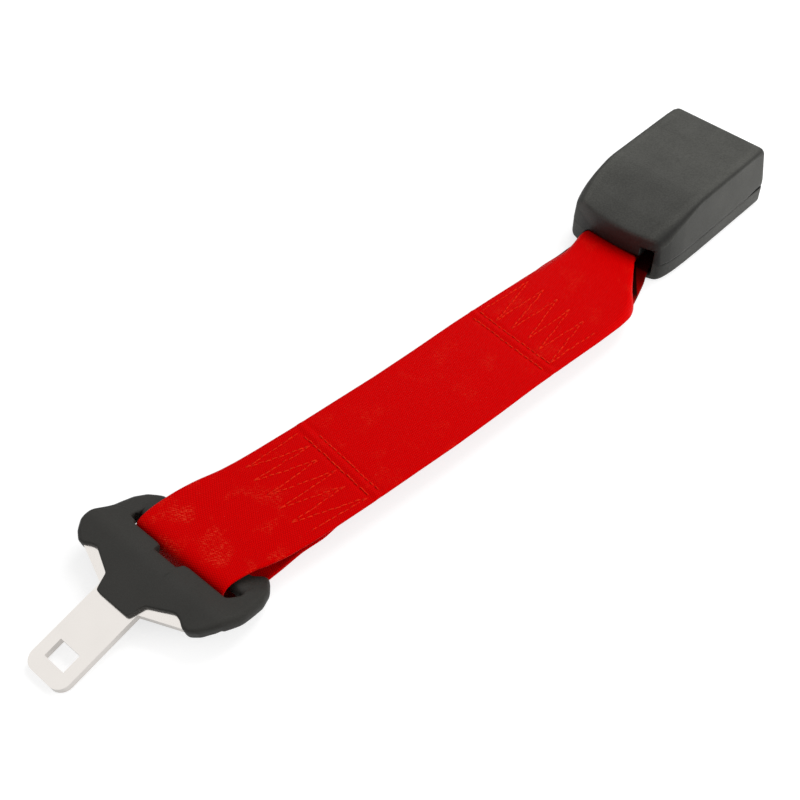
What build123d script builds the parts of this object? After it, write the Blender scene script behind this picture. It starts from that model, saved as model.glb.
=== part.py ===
import os
from math import cos, radians, sin, tan

from build123d import *

# Buckle housing: x runs from the webbing end to the mouth end, z = 0 is the underside
rear_x = -41.0
front_x = 41.0
height = 31.0
half_width = 26.2
waist_z = 10.0
side_draft = 0.093
wall = 2.2
end_wall = 3.4
parting_z = 9.3
slit = 0.6
face_lean = 3.0
face_knee_z = 14.0
slot_half_width = 20.0
slot_low_z = 2.4
slot_high_z = 18.5

# Steel frame inside the buckle
steel = 3.0
frame_z = 6.2
side_room = 5.0
frame_half_width = half_width - side_room
frame_rear_x = -29.0
frame_front_x = 35.4
frame_wall = 1.5
frame_wall_z = 20.0
anchor_bar = 6.0
anchor_slot = 7.0
anchor_half_length = 18.6
anchor_x = frame_rear_x + anchor_bar / 2
anchor_z = frame_z + steel / 2
deck_z = frame_z + steel

# Tongue channel, pawl, slider, button and ejector
channel_half_width = 12.2
channel_height = 4.4
guide_steel = 1.0
guide_leg = 1.2
pawl_x = -14.0
pawl_z = 16.2
pin_radius = 2.0
hub_radius = 3.4
pawl_steel = 2.5
pawl_lift = 11.0
ear_x = 8.0
ear_z = 14.8
ear_radius = 1.2
ramp_angle = 40.0
button_half_width = 16.0
button_low_z = 15.3
button_high_z = height - 2.8
spring_y = 9.5
spring_z = button_high_z - 3.7
spring_length = 19.5
pawl_spring_x = 6.0
pawl_spring_top = height - 4.0
ejector_spring_length = 17.5
button_back_x = 29.0
button_travel = 5.0
ejector_travel = 12.0
running = 0.05
loose = 0.3

# Webbing
ply = 1.3
strap_width = 48.0
anchor_width = 36.0
anchor_loop = 3.6
tongue_reach = 9.4
strap_top_z = anchor_z + anchor_loop + ply

# Tongue: u runs from the window towards the ridge, s from the ridge to the bar
tongue_yaw = 1.65
tongue_bar_x = -274.5
tongue_bar_y = 13.6
tongue_bar_z = 6.3
blade_pitch = 11.4
bend_angle = 28.0
blade_steel = 3.0
blade_half_width = 10.0
tip_u = -10.1
ridge_u = 42.0
bar_s = 19.3
bar_length = 9.4
bar_thickness = 6.0
cover_thickness = 6.6
strap_gap_half = 27.5
slot_s = 8.5
slot_recess = 3.2

housing_stations = (
    (-41.0, 21.6, 0.9, 21.2, 6.5, 1.6),
    (-39.6, 22.3, 0.3, 23.4, 7.0, 2.0),
    (-37.2, 23.0, 0.0, 25.2, 7.2, 2.4),
    (-30.5, 24.8, 0.0, 27.8, 6.6, 2.4),
    (-23.0, 25.5, 0.0, 29.6, 5.2, 2.4),
    (-16.0, 25.75, 0.0, 30.6, 4.0, 2.4),
    (-9.0, 25.8, 0.0, 31.0, 3.0, 2.4),
)


def block(x0, x1, y0, y1, z0, z1):
    return Pos((x0 + x1) / 2, (y0 + y1) / 2, (z0 + z1) / 2) * Box(x1 - x0, y1 - y0, z1 - z0)


def pair(x0, x1, y0, y1, z0, z1):
    return block(x0, x1, y0, y1, z0, z1) + block(x0, x1, -y1, -y0, z0, z1)


def across(outline, half):
    """Solid from an (x, z) outline, centred on y = 0 and reaching half each way."""
    face = make_face(Polyline(*outline, close=True))
    return extrude(Plane.XZ * face, half, both=True)


def rod_y(x, z, radius, half):
    return Pos(x, 0, z) * Rot(90, 0, 0) * Cylinder(radius, 2 * half)


def rod_z(x, y, radius, z0, z1):
    return Pos(x, y, (z0 + z1) / 2) * Cylinder(radius, z1 - z0)


def coil(radius, wire, length, turns):
    path = Helix(length / turns, length, radius)
    profile = Plane(path @ 0, z_dir=path % 0) * RegularPolygon(wire, 6)
    return sweep(profile, path, is_frenet=True)


def station(x, low, bottom, top, top_radius, bottom_radius, inset):
    scale = half_width / 25.8
    rise = height / 31.0
    low = low * scale - inset
    bottom = bottom + inset
    top = top * rise - inset
    high = low - (top - waist_z) * side_draft
    points = [(-low, bottom), (low, bottom), (low, waist_z), (high, top), (-high, top), (-low, waist_z)]
    face = make_face(Polyline(*points, close=True))
    face = fillet(face.vertices().group_by(Axis.Y)[-1], max(top_radius - inset, 0.8))
    face = fillet(face.vertices().group_by(Axis.Y)[0], max(bottom_radius - inset, 0.8))
    return Plane.YZ.offset(x) * face


def housing(inset):
    tail = [station(*row, inset) for row in housing_stations]
    row = housing_stations[-1]
    nose = station(front_x, row[1], row[2], row[3], 2.0, row[5], inset)
    return loft(tail, ruled=True) + loft([tail[-1], nose], ruled=True)


def face_wedge(shift=0.0):
    """Everything in front of the leaning end face."""
    low = (front_x + shift, face_knee_z)
    high = (front_x + shift - face_lean, height)
    far = front_x + 9
    return across([low, high, (high[0], height + 5), (far, height + 5), (far, face_knee_z)], 40)


def shell():
    rear_wall = rear_x + wall + 0.2
    cavity = housing(wall) & block(rear_wall, front_x - end_wall, -40, 40, -1, 40)
    mouth = block(rear_x - 2, rear_wall + 0.5, -slot_half_width, slot_half_width, slot_low_z, slot_high_z)
    bezel_hole = block(front_x - end_wall - 1, front_x + 2, -17.0, 17.0, 7.4, 15.0)
    low = button_low_z - 0.4
    high = button_high_z + loose
    edge = button_half_width + loose
    button_hole = block(front_x - end_wall - 1, front_x + 2, -edge, edge, low, high)
    return housing(0) - cavity - mouth - bezel_hole - button_hole - face_wedge()


def hook(x, side):
    inner = half_width - wall
    arm = block(x, x + 6, inner - 1.3, inner - 0.1, 4.6, 14.0)
    barb = block(x, x + 6, inner - 0.2, inner + 0.6, 4.6, 5.8)
    return arm + barb if side > 0 else mirror(arm + barb, Plane.XZ)


def upper_cover(body):
    cover = body & block(-50, 50, -40, 40, parting_z, 50)
    cover -= pair(30, 43, 18, 30, parting_z, parting_z + slit)
    roof = height - wall + 0.6
    edge = frame_half_width
    cover += pair(-15, -11, edge - 1.3, edge, frame_wall_z, roof)
    cover += pair(20, 24, edge - 1.3, edge, frame_wall_z, roof)
    cover += pair(5, ear_x, spring_y - 2.5, spring_y + 2.5, spring_z - 2.2, roof)
    cover += pair(button_back_x + running, 31, button_half_width + 0.4, edge + 1.4, 18.0, roof)
    cover += rod_z(pawl_spring_x, 0, 3.2, pawl_spring_top, roof)
    cover += rod_z(pawl_spring_x, 0, 1.7, pawl_spring_top - 2, roof)
    for x in (-2.0, 22.0):
        cover += hook(x, 1) + hook(x, -1)
    return cover


def lower_cover(body):
    cover = body & block(-50, 50, -40, 40, -5, parting_z)
    cover += pair(-20, 33, 18.8, 20.2, wall - 0.2, frame_z)
    cover += block(24, 33, -6, -4.5, wall - 0.2, frame_z) + block(24, 33, 4.5, 6, wall - 0.2, frame_z)
    for side in (-16, 16):
        cover += rod_z(-5, side, pin_radius, wall - 0.2, deck_z + 0.6)
        cover += rod_z(-5, side, 3.4, wall - 0.2, frame_z)
    inner = half_width - wall
    for x in (-2.3, 21.7):
        cover -= pair(x, x + 6.6, inner - 0.3, inner + 0.9, 4.2, 6.2)
    return cover


def mouth_bezel():
    body = block(front_x - end_wall - 1, front_x - 0.2, -16.9, 16.9, 7.5, 14.85)
    body += block(frame_front_x + 0.1, front_x - end_wall - 0.1, -18.6, 18.6, 6.5, 14.85)
    top = deck_z + channel_height
    throat = block(frame_front_x - 1, front_x + 1, -channel_half_width, channel_half_width, deck_z, top)
    outer = Plane.YZ.offset(front_x) * Pos(0, (deck_z + top) / 2) * Rectangle(29.0, 6.4)
    middle = Pos(0, (deck_z + top) / 2)
    inner = Plane.YZ.offset(front_x - 3) * middle * Rectangle(2 * channel_half_width, top - deck_z)
    return body - throat - loft([inner, outer], ruled=True) - face_wedge(-0.2)


def latch_frame():
    base = block(frame_rear_x, frame_front_x, -frame_half_width, frame_half_width, frame_z, deck_z)
    slot_x = frame_rear_x + anchor_bar
    base -= block(slot_x, slot_x + anchor_slot, -anchor_half_length, anchor_half_length, 0, 30)
    base -= block(15, 22, -5, 5, 0, 30) + block(-8, 13.4, -1.6, 1.6, 0, 30)
    side = [(-22, frame_z), (-20, 18), (-18, frame_wall_z), (26, frame_wall_z), (30, 15), (33, frame_z)]
    flank = across(side, frame_half_width) - across(side, frame_half_width - frame_wall)
    frame = base + flank + block(-13, -11.5, -3, 3, deck_z - 0.5, 12.6)
    frame -= rod_y(pawl_x, pawl_z, pin_radius, 30)
    for side_y in (-16, 16):
        frame -= rod_z(-5, side_y, pin_radius + running, 0, 20)
    for x, y in rivet_points:
        frame -= rod_z(x, y, 1.2, 0, 20)
    return frame


rivet_points = ((14.6, 16.0), (14.6, -16.0), (32.0, 16.0), (32.0, -16.0))


def guide_plate():
    roof_z = deck_z + channel_height
    outer = channel_half_width + guide_leg
    plate = block(12, frame_front_x, -outer, outer, deck_z, roof_z + guide_steel)
    flange = frame_half_width - frame_wall - 0.7
    plate += pair(12, frame_front_x, channel_half_width, flange, deck_z, deck_z + guide_leg)
    plate -= block(11, 40, -channel_half_width, channel_half_width, deck_z - 1, roof_z)
    plate -= block(15.3, 22.6, -5, 5, roof_z - 1, roof_z + 3)
    for x, y in rivet_points:
        plate -= rod_z(x, y, 1.2, 0, 20)
    return plate


def guide_rivets():
    rivets = []
    for x, y in rivet_points:
        top = deck_z + guide_leg
        rivets.append(rod_z(x, y, 1.2, frame_z - 0.5, top + 0.5) + rod_z(x, y, 1.8, top, top + 0.55)
                      + rod_z(x, y, 1.8, frame_z - 0.55, frame_z))
    return Compound(rivets)


def latch_pawl():
    low = pawl_z - 1.2
    high = low + pawl_steel
    pawl = rod_y(pawl_x, pawl_z, hub_radius, 13) + block(pawl_x, 9.5, -13, 13, low, high)
    pawl += block(9, 20.5, -5.2, 5.2, low, high) + block(16, 20.5, -4, 4, 7.0, low + 0.5)
    ears = rod_y(ear_x, ear_z, ear_radius, 17.5) + block(6.9, 9.5, -17.5, 17.5, ear_z, high)
    pawl += ears - block(5, 11, -12.8, 12.8, 0, low)
    return pawl - rod_y(pawl_x, pawl_z, pin_radius + running, 30)


def pawl_pin():
    reach = frame_half_width
    pin = rod_y(pawl_x, pawl_z, pin_radius, reach)
    head = rod_y(pawl_x, pawl_z, 2.8, reach + 0.7) - rod_y(pawl_x, pawl_z, 4, reach)
    return pin + head


def release_slider():
    run = 1 / tan(radians(ramp_angle))
    touch = ear_radius + loose
    foot_x = ear_x + touch * sin(radians(ramp_angle))
    foot_z = ear_z - touch * cos(radians(ramp_angle))
    low = deck_z + guide_leg + 0.9
    high = 17.8
    ramp = [(foot_x + (low - foot_z) * run, low), (foot_x + (high - foot_z) * run, high)]
    rail = ramp + [(ramp[1][0] + 2, high), (ramp[1][0] + 5, 14.6), (29, 14.6), (29, low)]
    arms = across(rail, 17.2) - across(rail, 13.8)
    bridge = block(27.5, button_back_x, -17.2, 17.2, 14.95, button_high_z - 1.2)
    posts = pair(27.5, button_back_x, 13.8, 17.2, low, 16)
    top = button_high_z - 1.9
    plug = block(28.5, 33.0, -14.0, 14.0, 17.1, top) - block(30.5, 34, -12.2, 12.2, 18.8, top - 1.5)
    return arms + bridge + posts + plug


def release_button():
    cap = block(button_back_x, front_x, -button_half_width, button_half_width, button_low_z, button_high_z)
    cap = fillet(cap.edges().filter_by(Axis.X), 1.5) - face_wedge(-0.3)
    hollow = block(button_back_x - 1, front_x - 5.5, -14.05, 14.05, 17.05, button_high_z - 1.85)
    return cap - hollow


def ejector():
    body = block(6, 12, -10.5, 10.5, 9.5, 13.3) + pair(11, 20, 5.0, 10.5, 9.5, 13.3)
    keel = block(6, 12, -1.3, 1.3, 6.0, 9.6) + block(6, 12, -3.0, 3.0, 4.5, 6.0)
    return body + keel


def strap_edges():
    rows = (
        (tongue_bar_x, 11.5, tongue_yaw, strap_width),
        (-262.5, 10.9, 0.0, strap_width),
        (-255.0, 7.6, -8.0, strap_width),
        (-247.0, 4.5, -10.0, strap_width),
        (-232.0, 2.1, -5.0, strap_width),
        (-123.0, -7.4, -5.0, strap_width),
        (-93.0, -9.9, -3.0, strap_width),
        (-66.0, -8.6, 0.0, 43.5),
        (-50.0, -3.4, 0.0, 38.8),
        (-41.5, -0.9, 0.0, 37.0),
        (anchor_x, 0.0, 0.0, anchor_width),
    )
    left = []
    right = []
    for x, y, yaw, width in rows:
        dx = -sin(radians(yaw)) * width / 2
        dy = cos(radians(yaw)) * width / 2
        left.append((x + dx, y + dy))
        right.append((x - dx, y - dy))
    return left + right[::-1]


def anchor_turn():
    """Half ring of webbing round the anchor bar."""
    ring = Circle(anchor_loop + ply) - Circle(anchor_loop)
    ring &= Pos(20, 0) * Rectangle(40, 40)
    return extrude(Plane.XZ * Pos(anchor_x, anchor_z) * ring, anchor_width / 2, both=True)


def tongue_turn():
    """Slack turn of webbing round the tongue bar, out to the near edge of the slot."""
    top = strap_top_z
    nose_x = tongue_bar_x - tongue_reach
    points = [(tongue_bar_x + 20, top), (nose_x, top), (nose_x - 0.2, top / 2), (tongue_bar_x - 6.4, 0)]
    points.append((tongue_bar_x + 20, 0))
    outer = make_face(Polyline(*points, close=True))
    bends = outer.vertices().filter_by(lambda v: v.X < tongue_bar_x)
    outer = fillet(bends, 3.2)
    ring = outer - offset(outer, -ply)
    ring &= Pos(tongue_bar_x - 20, 0) * Rectangle(40, 60)
    lean = radians(tongue_yaw)
    along = (cos(lean), sin(lean), 0)
    plane = Plane(origin=(tongue_bar_x, 11.5, 0), x_dir=along, z_dir=(sin(lean), -cos(lean), 0))
    return extrude(plane * Pos(-tongue_bar_x, 0) * ring, strap_width / 2, both=True)


def band(points):
    """Ply along an (x, z) line of its underside, as wide as the strap."""
    top = [(x, z + ply) for x, z in points]
    return across(points + top[::-1], 60)


def webbing():
    outline = make_face(Polyline(*strap_edges(), close=True))
    plan = extrude(outline, 40)
    under = strap_top_z - 2 * ply
    upper = band([(-290, under + ply), (0, under + ply)]) & plan
    tail_tongue = band([(-290, 0), (-268, 0), (-256, 1.6), (-238, 8.4), (-230, under), (-207, under)]) & plan
    low = anchor_z - anchor_loop - ply
    tail_anchor = band([(0, low), (-31, low), (-44, 4.6), (-60, 7.6), (-75, under), (-127, under)]) & plan
    loops = tongue_turn() + anchor_turn()
    return upper + tail_tongue + tail_anchor + loops


def tongue_planes():
    yaw = radians(tongue_yaw)
    slope = radians(bend_angle - blade_pitch)
    pitch = radians(blade_pitch)
    bar = Vector(tongue_bar_x, tongue_bar_y, tongue_bar_z)
    rear_dir = Vector(cos(slope) * cos(yaw), cos(slope) * sin(yaw), -sin(slope))
    rear_up = Vector(sin(slope) * cos(yaw), sin(slope) * sin(yaw), cos(slope))
    ridge = bar - rear_dir * bar_s
    blade_dir = Vector(cos(pitch) * cos(yaw), cos(pitch) * sin(yaw), sin(pitch))
    blade_up = Vector(-sin(pitch) * cos(yaw), -sin(pitch) * sin(yaw), cos(pitch))
    blade = Plane(origin=ridge - blade_dir * ridge_u, x_dir=blade_dir, z_dir=blade_up)
    rear = Plane(origin=ridge, x_dir=rear_dir, z_dir=rear_up)
    return blade, rear


def mirrored(points):
    return points + [(u, -v) for u, v in reversed(points)]


def slab(plane, points, thickness):
    face = make_face(Polyline(*mirrored(points), close=True))
    return extrude(plane * face, thickness / 2, both=True)


def ridge_halves(blade, rear):
    """Two half spaces that meet in the plane halfway through the bend."""
    half = bend_angle / 2
    mitre = Plane(origin=rear.origin, x_dir=(blade.x_dir + rear.x_dir).normalized(),
                  z_dir=(blade.z_dir + rear.z_dir).normalized())
    ahead = mitre * Pos(-60, 0, 0) * Box(120, 120, 80 + half)
    behind = mitre * Pos(60, 0, 0) * Box(120, 120, 80 + half)
    return ahead, behind


def tongue_plate():
    blade, rear = tongue_planes()
    ahead, behind = ridge_halves(blade, rear)
    outline = [(tip_u, blade_half_width), (ridge_u - 15.6, blade_half_width), (ridge_u - 9.5, 26),
               (ridge_u - 6, 30.5), (ridge_u + 4, 32.5)]
    front = slab(blade, outline, blade_steel)
    corners = front.edges().filter_by(lambda e: (e.center() - blade.origin).dot(blade.x_dir) < tip_u + 0.2
                                      and abs(e.tangent_at(0.5).dot(blade.z_dir)) > 0.9)
    front = fillet(corners, 5.0)
    window = blade * Box(7.6, 10.2, 20)
    back = slab(rear, [(-6, 32.5), (10, 32.2), (16, 31.4), (21.3, 30.4)], blade_steel)
    back -= rear * Pos((4.6 + 17.3) / 2, 0, 0) * Box(17.3 - 4.6, 56.8, 20)
    return (front - window & ahead) + (back & behind)


def soft_slab(plane, points, thickness, round_to):
    body = slab(plane, points, thickness)
    flat = body.faces().filter_by(lambda f: abs(f.normal_at().dot(plane.z_dir)) > 0.99)
    return fillet(flat.edges(), round_to)


def tongue_cover(plate):
    blade, rear = tongue_planes()
    ahead, behind = ridge_halves(blade, rear)
    nose = [(-18.55, 8.25), (-12, 10.4), (-7, 20.9), (-9.2, 26.8), (-7, 31.5), (-3, 33.9), (4, 35.6)]
    nose = [(ridge_u + u, v) for u, v in nose]
    front = soft_slab(blade, nose, cover_thickness, 1.6)
    tail = [(-6, 35.2), (6, 35.6), (11, 35.3), (16, 34.4), (21, 33.0), (25.5, 31.2), (28.6, 29.2)]
    tail.append((29.6, 27.6))
    back = soft_slab(rear, tail, cover_thickness, 1.6)
    reach = strap_gap_half
    back -= rear * Pos((slot_s + 40) / 2, 0, 0) * Box(40 - slot_s, 2 * reach, 20)
    back -= rear * Pos(slot_s - 1, 0, 0) * Box(2 * slot_recess - 2, 12.6, 20)
    bar = extrude(Plane.XZ * SlotOverall(bar_length, bar_thickness), reach + 1.5, both=True)
    back += rear * Pos(bar_s, 0, 0) * bar
    return (front & ahead) + (back & behind) - plate


def springs():
    wire = 0.25
    ends = 2 * wire + 0.02
    lie = Rot(0, 90, 0)
    push = lie * coil(1.55, wire, spring_length - ends, 8)
    left = Pos(ear_x + ends / 2, spring_y, spring_z) * push
    right = Pos(ear_x + ends / 2, -spring_y, spring_z) * push
    eject = Pos(-11.5 + ends / 2, 0, 11.4) * lie * coil(1.55, wire, ejector_spring_length - ends, 8)
    pawl_top = pawl_z - 1.2 + pawl_steel
    pawl = Pos(pawl_spring_x, 0, pawl_top + ends / 2) * coil(2.1, wire, pawl_spring_top - pawl_top - ends, 4)
    return {"button_spring_left": left, "button_spring_right": right, "ejector_spring": eject,
            "pawl_spring": pawl}


def main():
    os.makedirs("parts", exist_ok=True)
    body = shell()
    plate = tongue_plate()
    nodes = {
        "upper_cover": upper_cover(body),
        "lower_cover": lower_cover(body),
        "mouth_bezel": mouth_bezel(),
        "latch_frame": latch_frame(),
        "guide_plate": guide_plate(),
        "guide_rivets": guide_rivets(),
        "latch_pawl": latch_pawl(),
        "pawl_pin": pawl_pin(),
        "release_slider": release_slider(),
        "release_button": release_button(),
        "ejector": ejector(),
        "webbing": webbing(),
        "tongue_plate": plate,
        "tongue_cover": tongue_cover(plate),
    }
    nodes.update(springs())
    for name, solid in nodes.items():
        box = solid.bounding_box()
        print(name, len(solid.solids()), round(solid.volume), [round(v, 1) for v in (*box.min, *box.max)])
        export_step(solid, f"parts/{name}.step")


main()
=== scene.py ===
import bmesh
import bpy
import math
import numpy as np
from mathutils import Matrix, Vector


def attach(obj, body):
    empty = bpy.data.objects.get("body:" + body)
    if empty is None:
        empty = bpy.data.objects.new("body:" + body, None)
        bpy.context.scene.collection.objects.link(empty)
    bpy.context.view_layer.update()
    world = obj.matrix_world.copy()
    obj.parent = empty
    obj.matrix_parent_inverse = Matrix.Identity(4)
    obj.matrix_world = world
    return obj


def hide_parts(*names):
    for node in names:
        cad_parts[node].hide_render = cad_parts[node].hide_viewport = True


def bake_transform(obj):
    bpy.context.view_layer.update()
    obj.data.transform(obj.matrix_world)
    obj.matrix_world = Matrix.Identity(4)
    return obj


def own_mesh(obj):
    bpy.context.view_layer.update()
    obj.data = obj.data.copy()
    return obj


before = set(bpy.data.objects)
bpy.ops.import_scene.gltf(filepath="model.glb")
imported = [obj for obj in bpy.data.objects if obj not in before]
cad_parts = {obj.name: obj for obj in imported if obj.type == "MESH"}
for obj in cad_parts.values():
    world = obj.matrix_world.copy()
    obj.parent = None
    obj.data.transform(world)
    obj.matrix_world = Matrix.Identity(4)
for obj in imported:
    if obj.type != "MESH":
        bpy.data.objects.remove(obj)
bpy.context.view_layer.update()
scene = bpy.context.scene
mm = 0.001
rng = np.random.default_rng(7)


def blurRows(rows, sigma, closed=False):
    # Gaussian average along the first axis, sigma in rows; an open line keeps its two end rows
    reach = max(1, int(sigma * 3))
    weights = np.exp(-0.5 * (np.arange(-reach, reach + 1) / max(sigma, 1e-6)) ** 2)
    weights = weights / weights.sum()
    if closed:
        padded = np.concatenate([rows[-reach:], rows, rows[:reach]])
    else:
        before = 2 * rows[0] - rows[reach:0:-1]
        after = 2 * rows[-1] - rows[-2:-reach - 2:-1]
        padded = np.concatenate([before, rows, after])
    out = np.zeros_like(rows)
    for k, w in enumerate(weights):
        out += w * padded[k:k + len(rows)]
    return out


def resample(rows, step):
    # rows at equal distances along the line, measured on the first two columns
    gaps = np.linalg.norm(np.diff(rows[:, :2], axis=0), axis=1)
    along = np.concatenate([[0.0], np.cumsum(gaps)])
    count = max(4, int(round(along[-1] / step)) + 1)
    at = np.linspace(0.0, along[-1], count)
    return np.stack([np.interp(at, along, rows[:, k]) for k in range(rows.shape[1])], axis=1)


def gridQuads(rows, cols, closeRows, closeCols):
    # index quads of a rows by cols grid of points, each direction open or closed
    i = np.arange(rows if closeRows else rows - 1)
    j = np.arange(cols if closeCols else cols - 1)
    i, j = np.meshgrid(i, j, indexing="ij")
    nextI, nextJ = (i + 1) % rows * cols, (j + 1) % cols
    i = i * cols
    return np.stack([i + j, nextI + j, nextI + nextJ, i + nextJ], -1).reshape(-1, 4)


def endCaps(rows, cols):
    # the two end faces of a tube of rows rings with cols points each
    return [list(range(cols)), list(range((rows - 1) * cols, rows * cols))]


def fade(value, start, over):
    # 0 at start, 1 at start + over, level beyond both; over may be negative
    return np.clip((value - start) / over, 0.0, 1.0)


def easy(share):
    # the same rise with level ends
    return share * share * (3 - 2 * share)


def editMesh(mesh, *steps):
    # each step is a function that works on the bmesh
    work = bmesh.new()
    work.from_mesh(mesh)
    for step in steps:
        step(work)
    work.to_mesh(mesh)
    work.free()


def turnOutwards(work):
    bmesh.ops.recalc_face_normals(work, faces=work.faces)


def meshPiece(name, points, faces, material, body, uv=None):
    # points in mm become a smooth object at the origin, its normals turned outwards
    mesh = bpy.data.meshes.new(name)
    mesh.from_pydata((np.asarray(points).reshape(-1, 3) * mm).tolist(), [], [list(f) for f in faces])
    if uv is not None:
        layer = mesh.uv_layers.new(name="strap")
        index = np.zeros(len(mesh.loops), np.int32)
        mesh.loops.foreach_get("vertex_index", index)
        layer.data.foreach_set("uv", uv.reshape(-1, 2)[index].astype(np.float32).ravel())
    editMesh(mesh, turnOutwards)
    mesh.polygons.foreach_set("use_smooth", [True] * len(mesh.polygons))
    mesh.materials.append(material)
    piece = bpy.data.objects.new(name, mesh)
    scene.collection.objects.link(piece)
    if body:
        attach(piece, body)
    return piece


def setInputs(node, values):
    for label, value in values.items():
        node.inputs[label].default_value = value


def newGroup(name, inputs, outputs):
    group = bpy.data.node_groups.new(name, "ShaderNodeTree")
    for label, kind, value in inputs:
        socket = group.interface.new_socket(label, in_out="INPUT", socket_type=kind)
        if value is not None:
            socket.default_value = value
    for label, kind in outputs:
        group.interface.new_socket(label, in_out="OUTPUT", socket_type=kind)
    start = group.nodes.new("NodeGroupInput")
    end = group.nodes.new("NodeGroupOutput")
    return group, start, end


def mathNode(tree, operation, a, b=None):
    node = tree.nodes.new("ShaderNodeMath")
    node.operation = operation
    for slot, value in enumerate((a, b)):
        if value is None:
            continue
        if hasattr(value, "is_output"):
            tree.links.new(value, node.inputs[slot])
        else:
            node.inputs[slot].default_value = value
    return node.outputs[0]


def combine(tree, operation, first, *others):
    # the same operation from the first value on through all the others
    for other in others:
        first = mathNode(tree, operation, first, other)
    return first


def grainGroup():
    # moulded grain: fine noise for height, slow noise for a little unevenness of tone
    group, start, end = newGroup(
        "mouldedGrain",
        [("Coordinates", "NodeSocketVector", None), ("Grain", "NodeSocketFloat", 2200.0),
         ("Patches", "NodeSocketFloat", 60.0)],
        [("Height", "NodeSocketFloat"), ("Tone", "NodeSocketFloat")])
    fine = group.nodes.new("ShaderNodeTexNoise")
    setInputs(fine, {"Detail": 3.0, "Roughness": 0.6})
    slow = group.nodes.new("ShaderNodeTexNoise")
    setInputs(slow, {"Detail": 4.0})
    group.links.new(start.outputs["Coordinates"], fine.inputs["Vector"])
    group.links.new(start.outputs["Coordinates"], slow.inputs["Vector"])
    group.links.new(start.outputs["Grain"], fine.inputs["Scale"])
    group.links.new(start.outputs["Patches"], slow.inputs["Scale"])
    group.links.new(fine.outputs[0], end.inputs["Height"])
    group.links.new(slow.outputs[0], end.inputs["Tone"])
    return group


def weaveGroup():
    # webbing weave in strap millimetres: weft ribs across the strap, shifted by half a rib in
    # every second warp column, with the warp columns as rounded bars
    group, start, end = newGroup(
        "webbingWeave",
        [("Strap", "NodeSocketVector", None), ("Rib", "NodeSocketFloat", 0.95),
         ("Column", "NodeSocketFloat", 1.2)],
        [("Height", "NodeSocketFloat"), ("Rise", "NodeSocketFloat")])
    split = group.nodes.new("ShaderNodeSeparateXYZ")
    group.links.new(start.outputs["Strap"], split.inputs[0])
    column = mathNode(group, "DIVIDE", split.outputs["X"], start.outputs["Column"])
    shift = mathNode(group, "MULTIPLY", mathNode(group, "FLOOR", column), 0.5)
    along = mathNode(group, "DIVIDE", split.outputs["Y"], start.outputs["Rib"])
    rib = mathNode(group, "ADD", along, shift)
    ribWave = mathNode(group, "SINE", mathNode(group, "MULTIPLY", rib, 2 * math.pi))
    bar = mathNode(group, "SINE", mathNode(group, "MULTIPLY", column, math.pi))
    barWave = mathNode(group, "ABSOLUTE", bar)
    ribPart = mathNode(group, "MULTIPLY", mathNode(group, "ADD", ribWave, 1.0), 0.35)
    height = mathNode(group, "ADD", ribPart, mathNode(group, "MULTIPLY", barWave, 0.35))
    group.links.new(height, end.inputs["Height"])
    rise = mathNode(group, "ADD", mathNode(group, "MULTIPLY", ribWave, 0.5), 0.5)
    group.links.new(rise, end.inputs["Rise"])
    return group


grain = grainGroup()
weave = weaveGroup()


def newMaterial(name, color, roughness, metallic=0.0, specular=0.5):
    material = bpy.data.materials.new(name)
    material.use_nodes = True
    shader = material.node_tree.nodes["Principled BSDF"]
    setInputs(shader, {"Base Color": (*color, 1.0), "Roughness": roughness, "Metallic": metallic,
                       "Specular IOR Level": specular})
    return material, material.node_tree, shader


def linear(r, g, b):
    values = np.array([r, g, b]) / 255.0
    return tuple(np.where(values <= 0.04045, values / 12.92, ((values + 0.055) / 1.055) ** 2.4))


def mixColor(tree, factor, a, b):
    # a is a colour or a socket, b is a colour
    node = tree.nodes.new("ShaderNodeMix")
    node.data_type = "RGBA"
    tree.links.new(factor, node.inputs[0])
    if hasattr(a, "is_output"):
        tree.links.new(a, node.inputs[6])
    else:
        node.inputs[6].default_value = (*a, 1.0)
    node.inputs[7].default_value = (*b, 1.0)
    return node.outputs[2]


def ramp(tree, value, low, high, toLow=0.0, toHigh=1.0):
    node = tree.nodes.new("ShaderNodeMapRange")
    tree.links.new(value, node.inputs["Value"])
    setInputs(node, {"From Min": low, "From Max": high, "To Min": toLow, "To Max": toHigh})
    return node.outputs[0]


def bumpInto(tree, shader, height, strength, distance):
    node = tree.nodes.new("ShaderNodeBump")
    setInputs(node, {"Strength": strength, "Distance": distance})
    tree.links.new(height, node.inputs["Height"])
    tree.links.new(node.outputs[0], shader.inputs["Normal"])


def placeGroup(tree, group, **values):
    node = tree.nodes.new("ShaderNodeGroup")
    node.node_tree = group
    setInputs(node, values)
    return node


def objectCoordinates(tree):
    return tree.nodes.new("ShaderNodeTexCoord").outputs["Object"]


def placeGrain(tree, grainScale, patches):
    texture = placeGroup(tree, grain, Grain=grainScale, Patches=patches)
    tree.links.new(objectCoordinates(tree), texture.inputs["Coordinates"])
    return texture


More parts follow.
